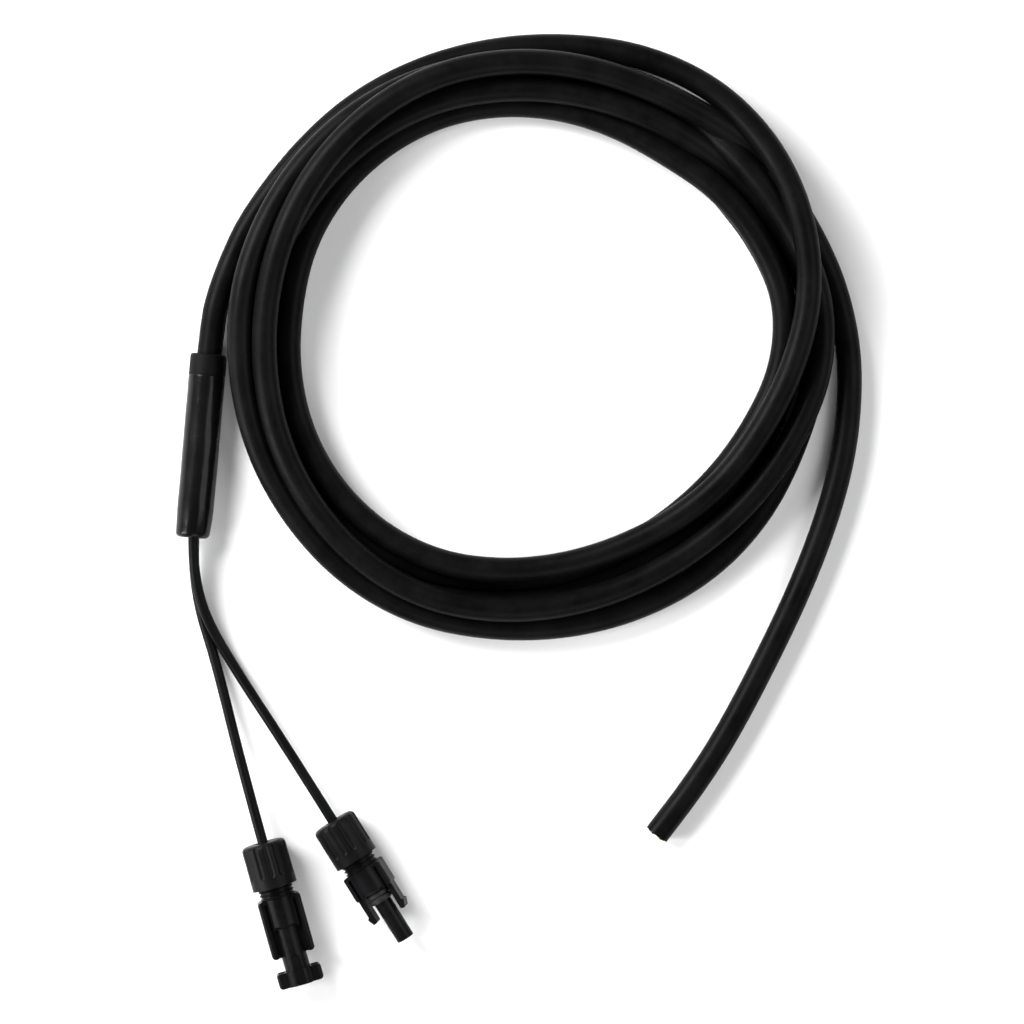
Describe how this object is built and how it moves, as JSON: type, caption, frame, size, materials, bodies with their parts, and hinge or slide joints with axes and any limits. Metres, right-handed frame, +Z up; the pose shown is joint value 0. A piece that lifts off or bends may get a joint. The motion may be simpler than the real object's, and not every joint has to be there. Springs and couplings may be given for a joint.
{
  "type": "solar cable connector",
  "caption": "Coiled round cable whose sheath splits in a sleeve into two thin leads, each ending in a lockable single-pole plug-in coupler.",
  "frame": {"origin": "on the supporting surface, under the middle of the box round the two couplers and the breakout sleeve", "axes": "+Z up from the supporting surface, +Y from the couplers towards the breakout sleeve and the coil, +X from the sleeve towards the coil"},
  "size_m": [0.2901, 0.407, 0.034],
  "materials": {
    "cable_jacket": "matt with a faint sheen",
    "lead_jacket": "satin",
    "core_insulation": "matt",
    "copper": "bare drawn",
    "shrink_sleeve": "gloss",
    "collar_tape": "matt",
    "filler": "matt",
    "housing_plastic": "satin",
    "nut_plastic": "satin",
    "clamp_plastic": "satin",
    "seal_rubber": "matt",
    "contact_metal": "tinned",
    "clip_steel": "satin"
  },
  "bodies": {
    "harness": {"cable_coil": "cable_jacket", "cable_lead_in": "cable_jacket", "cable_tail": "cable_jacket", "cable_jacket_end": "cable_jacket", "cable_core_ends": "core_insulation", "cable_conductor_ends": "copper", "breakout_sleeve": "shrink_sleeve", "sleeve_collar": "collar_tape", "breakout_filler": "filler", "breakout_cores": "core_insulation", "male_lead": "lead_jacket", "female_lead": "lead_jacket", "male_housing": "housing_plastic", "male_lead_seal": "seal_rubber", "male_pin_contact": "contact_metal", "male_contact_clip": "clip_steel", "male_conductor": "copper", "female_housing": "housing_plastic", "female_lead_seal": "seal_rubber", "female_socket_contact": "contact_metal", "female_contact_spring": "copper", "female_contact_clip": "clip_steel", "female_conductor": "copper", "female_nose_seal": "seal_rubber"},
    "male_nut_body": {"male_nut": "nut_plastic"},
    "male_ring_body": {"male_clamp_ring": "clamp_plastic"},
    "female_nut_body": {"female_nut": "nut_plastic"},
    "female_ring_body": {"female_clamp_ring": "clamp_plastic"},
    "latch_right_body": {"female_latch_right": "housing_plastic"},
    "latch_left_body": {"female_latch_left": "housing_plastic"}
  },
  "joints": [
    {"name": "male_nut_travel", "type": "slide", "parent": "harness", "child": "male_ring_body", "axis": [-0.27, 0.9629, 0], "range_m": [0, 0.008]},
    {"name": "male_nut_turn", "type": "hinge", "parent": "male_ring_body", "child": "male_nut_body", "pos_m": [-0.0133, -0.0726, 0.0095], "axis": [-0.27, 0.9629, 0], "range_deg": [0, 1805]},
    {"name": "female_nut_travel", "type": "slide", "parent": "harness", "child": "female_ring_body", "axis": [-0.5281, 0.8492, 0], "range_m": [0, 0.008]},
    {"name": "female_nut_turn", "type": "hinge", "parent": "female_ring_body", "child": "female_nut_body", "pos_m": [0.0163, -0.0634, 0.0095], "axis": [-0.5281, 0.8492, 0], "range_deg": [0, 1805]},
    {"name": "latch_right_squeeze", "type": "hinge", "parent": "harness", "child": "latch_right_body", "pos_m": [0.03991, -0.08817, 0.01098], "axis": [0.1766, 0.1098, -0.9781], "range_deg": [0, 6], "stiffness_Nm_per_rad": 0.5},
    {"name": "latch_left_squeeze", "type": "hinge", "parent": "harness", "child": "latch_left_body", "pos_m": [0.02807, -0.09553, 0.00802], "axis": [-0.1766, -0.1098, 0.9781], "range_deg": [0, 6], "stiffness_Nm_per_rad": 0.5}
  ],
  "couplings": [
    {"joint": "male_nut_turn", "follows": "male_nut_travel", "rad_per_m": 3927},
    {"joint": "female_nut_turn", "follows": "female_nut_travel", "rad_per_m": 3927}
  ]
}
